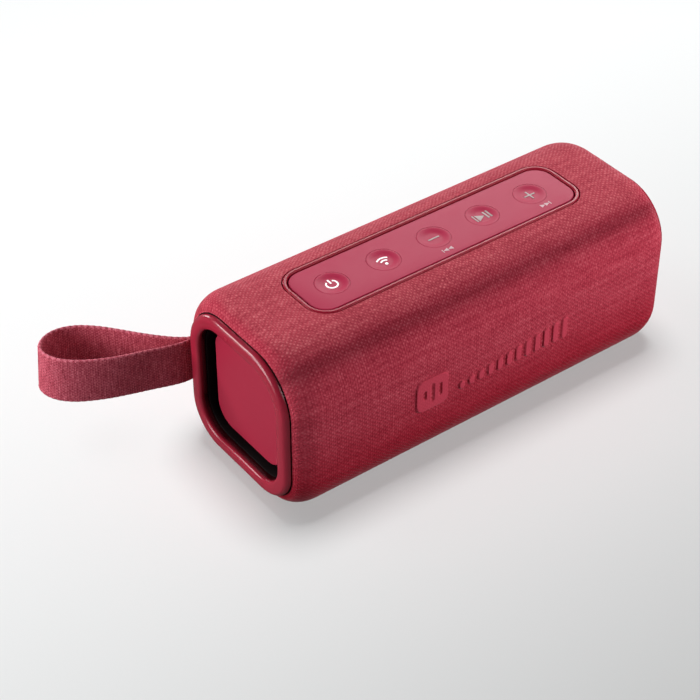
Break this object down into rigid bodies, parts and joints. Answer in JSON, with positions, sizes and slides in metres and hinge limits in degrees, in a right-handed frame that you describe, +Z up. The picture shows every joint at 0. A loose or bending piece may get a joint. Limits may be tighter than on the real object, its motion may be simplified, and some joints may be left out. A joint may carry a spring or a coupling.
{
  "type": "portable wireless speaker",
  "caption": "Portable wireless speaker: soft-cornered fabric box with end radiators, a top key panel, a rear socket door and a webbing wrist strap.",
  "frame": {"origin": "on the floor plane (the underside of the rubber feet), under the middle of the speaker body; the strap is not counted", "axes": "+X along the length from the power-key end to the volume-up end, -Y out of the front face, +Z up through the key panel"},
  "size_m": [0.2263, 0.1019, 0.0728],
  "materials": {
    "aux_socket": "matt",
    "battery_cells": "shrink sleeve",
    "battery_cradle": "matt",
    "board_components": "moulded",
    "board_screws": "zinc plated",
    "button_pairing": "soft matt",
    "button_play_pause": "soft matt",
    "button_power": "soft matt",
    "button_volume_down": "soft matt",
    "button_volume_up": "soft matt",
    "control_board": "solder mask",
    "control_board_screws": "zinc plated",
    "control_panel": "soft matt",
    "driver_basket_left": "black passivated",
    "driver_basket_right": "black passivated",
    "driver_cone_left": "paper",
    "driver_cone_right": "paper",
    "driver_gaskets": "matt",
    "driver_magnet_left": "ferrite",
    "driver_magnet_right": "ferrite",
    "driver_screws": "zinc plated",
    "driver_spider_left": "impregnated cloth",
    "driver_spider_right": "impregnated cloth",
    "driver_surround_left": "matt",
    "driver_surround_right": "matt",
    "driver_yoke_left": "black passivated",
    "driver_yoke_right": "black passivated",
    "enclosure_baffle": "matt",
    "enclosure_gasket": "matt",
    "enclosure_screws": "zinc plated",
    "enclosure_tub": "matt",
    "end_ring_left": "satin gloss",
    "end_ring_right": "satin gloss",
    "fabric_cover": "woven heather",
    "feet": "matt",
    "grille_sleeve": "matt",
    "keypad_mat": "matt",
    "main_board": "solder mask",
    "panel_trim_ring": "satin gloss",
    "port_flap": "matt",
    "port_panel": "matt",
    "radiator_frame_left": "matt",
    "radiator_frame_right": "matt",
    "radiator_plate_left": "satin",
    "radiator_plate_right": "satin",
    "radiator_screws": "zinc plated",
    "radiator_surround_left": "matt",
    "radiator_surround_right": "matt",
    "radiator_weight_left": "zinc plated",
    "radiator_weight_right": "zinc plated",
    "snap_domes": "bright",
    "status_leds": "translucent white",
    "strap_pin": "zinc plated",
    "tact_switches": "moulded",
    "usb_socket": "nickel",
    "voice_coil_left": "enamelled copper",
    "voice_coil_right": "enamelled copper",
    "wiring_loom": "pvc",
    "wrist_strap": "webbing"
  },
  "bodies": {
    "cabinet": {"aux_socket": "aux_socket", "battery_cells": "battery_cells", "battery_cradle": "battery_cradle", "board_components": "board_components", "board_screws": "board_screws", "control_board": "control_board", "control_board_screws": "control_board_screws", "control_panel": "control_panel", "driver_basket_left": "driver_basket_left", "driver_basket_right": "driver_basket_right", "driver_gaskets": "driver_gaskets", "driver_magnet_left": "driver_magnet_left", "driver_magnet_right": "driver_magnet_right", "driver_screws": "driver_screws", "driver_spider_left": "driver_spider_left", "driver_spider_right": "driver_spider_right", "driver_surround_left": "driver_surround_left", "driver_surround_right": "driver_surround_right", "driver_yoke_left": "driver_yoke_left", "driver_yoke_right": "driver_yoke_right", "enclosure_baffle": "enclosure_baffle", "enclosure_gasket": "enclosure_gasket", "enclosure_screws": "enclosure_screws", "enclosure_tub": "enclosure_tub", "end_ring_left": "end_ring_left", "end_ring_right": "end_ring_right", "fabric_cover": "fabric_cover", "feet": "feet", "grille_sleeve": "grille_sleeve", "keypad_mat": "keypad_mat", "main_board": "main_board", "panel_trim_ring": "panel_trim_ring", "port_panel": "port_panel", "radiator_frame_left": "radiator_frame_left", "radiator_frame_right": "radiator_frame_right", "radiator_screws": "radiator_screws", "radiator_surround_left": "radiator_surround_left", "radiator_surround_right": "radiator_surround_right", "snap_domes": "snap_domes", "status_leds": "status_leds", "strap_pin": "strap_pin", "tact_switches": "tact_switches", "usb_socket": "usb_socket", "wiring_loom": "wiring_loom"},
    "radiator_left": {"radiator_plate_left": "radiator_plate_left", "radiator_weight_left": "radiator_weight_left"},
    "radiator_right": {"radiator_plate_right": "radiator_plate_right", "radiator_weight_right": "radiator_weight_right"},
    "driver_left": {"driver_cone_left": "driver_cone_left", "voice_coil_left": "voice_coil_left"},
    "driver_right": {"driver_cone_right": "driver_cone_right", "voice_coil_right": "voice_coil_right"},
    "power_key": {"button_power": "button_power"},
    "pairing_key": {"button_pairing": "button_pairing"},
    "volume_down_key": {"button_volume_down": "button_volume_down"},
    "play_pause_key": {"button_play_pause": "button_play_pause"},
    "volume_up_key": {"button_volume_up": "button_volume_up"},
    "socket_door": {"port_flap": "port_flap"},
    "strap": {"wrist_strap": "wrist_strap"}
  },
  "joints": [
    {"name": "radiator_left_stroke", "type": "slide", "parent": "cabinet", "child": "radiator_left", "axis": [-1, 0, 0], "range_m": [-0.0025, 0.0025], "stiffness_N_per_m": 1500, "deforming": ["radiator_surround_left"]},
    {"name": "radiator_right_stroke", "type": "slide", "parent": "cabinet", "child": "radiator_right", "axis": [1, 0, 0], "range_m": [-0.0025, 0.0025], "stiffness_N_per_m": 1500, "deforming": ["radiator_surround_right"]},
    {"name": "driver_left_stroke", "type": "slide", "parent": "cabinet", "child": "driver_left", "axis": [0, -1, 0], "range_m": [-0.002, 0.002], "stiffness_N_per_m": 500, "deforming": ["driver_surround_left", "driver_spider_left"]},
    {"name": "driver_right_stroke", "type": "slide", "parent": "cabinet", "child": "driver_right", "axis": [0, -1, 0], "range_m": [-0.002, 0.002], "stiffness_N_per_m": 500, "deforming": ["driver_surround_right", "driver_spider_right"]},
    {"name": "power_press", "type": "slide", "parent": "cabinet", "child": "power_key", "axis": [0, 0, -1], "range_m": [0, 0.0005], "stiffness_N_per_m": 100, "deforming": ["snap_domes"]},
    {"name": "pairing_press", "type": "slide", "parent": "cabinet", "child": "pairing_key", "axis": [0, 0, -1], "range_m": [0, 0.0005], "stiffness_N_per_m": 100, "deforming": ["snap_domes"]},
    {"name": "volume_down_press", "type": "slide", "parent": "cabinet", "child": "volume_down_key", "axis": [0, 0, -1], "range_m": [0, 0.0005], "stiffness_N_per_m": 100, "deforming": ["snap_domes"]},
    {"name": "play_pause_press", "type": "slide", "parent": "cabinet", "child": "play_pause_key", "axis": [0, 0, -1], "range_m": [0, 0.0005], "stiffness_N_per_m": 100, "deforming": ["snap_domes"]},
    {"name": "volume_up_press", "type": "slide", "parent": "cabinet", "child": "volume_up_key", "axis": [0, 0, -1], "range_m": [0, 0.0005], "stiffness_N_per_m": 100, "deforming": ["snap_domes"]},
    {"name": "socket_door_hinge", "type": "hinge", "parent": "cabinet", "child": "socket_door", "pos_m": [0.045, 0.0346, 0.0299], "axis": [-1, 0, 0], "range_deg": [0, 110]},
    {"name": "strap_swivel", "type": "hinge", "parent": "cabinet", "child": "strap", "pos_m": [-0.0845, 0.0318, 0.03675], "axis": [0, 0, -1], "range_deg": [-3, 100]}
  ]
}
